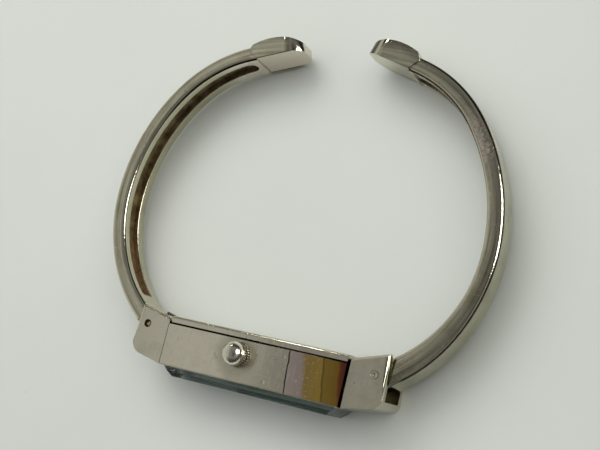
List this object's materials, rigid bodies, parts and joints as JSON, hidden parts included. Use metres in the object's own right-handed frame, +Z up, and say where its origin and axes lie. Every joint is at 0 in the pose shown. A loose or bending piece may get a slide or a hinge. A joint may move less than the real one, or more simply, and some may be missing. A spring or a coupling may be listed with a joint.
{
  "type": "cuff watch",
  "caption": "Slim rectangular bangle watch with sprung half cuffs hinged to both ends of the case, a domed knurled crown and a quartz movement.",
  "frame": {"origin": "centre of the nine o'clock side face of the case, which the watch lies on", "axes": "+X along the case from twelve to six o'clock, +Y from the dial to the wrist, +Z up through the crown"},
  "size_m": [0.0664, 0.0581, 0.0123],
  "materials": {
    "polished_steel": "polished nickel-toned plating with fine scratches",
    "crystal": "clear mineral glass, bevelled and polished",
    "rubber": "dull black nitrile",
    "clear_plastic": "translucent nylon ring",
    "dial": "satin pale lacquer",
    "markers": "polished",
    "hands": "gloss black lacquer",
    "holder": "moulded, dull",
    "brass": "fine turned and gilded",
    "bridge": "nickel plated, fine grain",
    "screws": "turned steel",
    "cell": "drawn nickel-plated steel",
    "film": "amber film",
    "board": "green lacquered laminate",
    "can": "drawn can",
    "chip": "moulded black resin",
    "iron": "annealed soft iron",
    "copper": "enamelled copper wire",
    "magnet": "sintered, dark",
    "spring": "drawn spring wire"
  },
  "bodies": {
    "case": {"case_body": "polished_steel", "case_back": "polished_steel", "back_gasket": "rubber", "crystal": "crystal", "crystal_gasket": "clear_plastic", "dial": "dial", "hour_markers": "markers", "movement_holder": "holder", "main_plate": "brass", "train_bridge": "bridge", "movement_screws": "screws", "battery": "cell", "battery_insulator": "film", "battery_strap": "bridge", "circuit_board": "board", "quartz_can": "can", "control_chip": "chip", "coil_core": "iron", "coil_winding": "copper", "stator": "iron", "crown_tube": "brass", "upper_link": "polished_steel", "lower_link": "polished_steel", "link_screws": "screws", "upper_spring": "spring", "lower_spring": "spring"},
    "upper_arm": {"upper_arm": "polished_steel", "upper_pin": "brass"},
    "lower_arm": {"lower_arm": "polished_steel", "lower_pin": "polished_steel"},
    "crown_slide": {"crown_gasket": "rubber"},
    "crown_spin": {"crown": "polished_steel", "stem": "screws", "sliding_pinion": "brass"},
    "setting_lever": {"setting_lever": "screws"},
    "minute": {"minute_hand": "hands", "cannon_pinion": "brass", "centre_wheel": "brass"},
    "hour": {"hour_hand": "hands", "hour_wheel": "brass"},
    "third": {"third_wheel": "brass"},
    "intermediate": {"intermediate_wheel": "brass"},
    "motor": {"rotor": "magnet", "rotor_pinion": "brass"},
    "reduction": {"minute_wheel": "brass"},
    "setting_gear": {"setting_wheel": "brass"}
  },
  "joints": [
    {"name": "upper_arm_open", "type": "hinge", "parent": "case", "child": "upper_arm", "pos_m": [-0.0196, 0.00245, 0.0045], "axis": [0, 0, 1], "range_deg": [0, 25], "stiffness_Nm_per_rad": 0.012, "springref_deg": -22.92},
    {"name": "lower_arm_open", "type": "hinge", "parent": "case", "child": "lower_arm", "pos_m": [0.0196, 0.00245, 0.0045], "axis": [0, 0, -1], "range_deg": [0, 25], "stiffness_Nm_per_rad": 0.012, "springref_deg": -22.92},
    {"name": "crown_pull", "type": "slide", "parent": "case", "child": "crown_slide", "axis": [0, 0, 1], "range_m": [0, 0.0007]},
    {"name": "crown_turn", "type": "hinge", "parent": "crown_slide", "child": "crown_spin", "pos_m": [-0.0024, 0.00085, 0.0091], "axis": [0, 0, 1], "continuous": true},
    {"name": "setting_lever_turn", "type": "hinge", "parent": "case", "child": "setting_lever", "pos_m": [-0.00385, 0.0014, 0.00675], "axis": [0, -1, 0], "range_deg": [0, 27.94]},
    {"name": "minute_turn", "type": "hinge", "parent": "case", "child": "minute", "pos_m": [-0.0024, 0, 0.0045], "axis": [0, 1, 0], "continuous": true},
    {"name": "hour_turn", "type": "hinge", "parent": "case", "child": "hour", "pos_m": [-0.0024, 0, 0.0045], "axis": [0, 1, 0], "continuous": true},
    {"name": "third_turn", "type": "hinge", "parent": "case", "child": "third", "pos_m": [-0.0044, 0, 0.0045], "axis": [0, 1, 0], "continuous": true},
    {"name": "intermediate_turn", "type": "hinge", "parent": "case", "child": "intermediate", "pos_m": [-0.00644, 0, 0.0045], "axis": [0, 1, 0], "continuous": true},
    {"name": "motor_turn", "type": "hinge", "parent": "case", "child": "motor", "pos_m": [-0.0084, 0, 0.0045], "axis": [0, 1, 0], "continuous": true},
    {"name": "reduction_turn", "type": "hinge", "parent": "case", "child": "reduction", "pos_m": [-0.0004, 0, 0.0045], "axis": [0, 1, 0], "continuous": true},
    {"name": "setting_gear_turn", "type": "hinge", "parent": "case", "child": "setting_gear", "pos_m": [-0.00169, 0, 0.00628], "axis": [0, 1, 0], "continuous": true}
  ],
  "couplings": [
    {"joint": "setting_lever_turn", "follows": "crown_pull", "rad_per_m": 696.53},
    {"joint": "third_turn", "follows": "minute_turn", "ratio": -3},
    {"joint": "intermediate_turn", "follows": "minute_turn", "ratio": 15},
    {"joint": "motor_turn", "follows": "minute_turn", "ratio": -90},
    {"joint": "reduction_turn", "follows": "minute_turn", "ratio": -0.33333},
    {"joint": "hour_turn", "follows": "minute_turn", "ratio": 0.083333},
    {"joint": "setting_gear_turn", "follows": "minute_turn", "ratio": 0.71429}
  ]
}
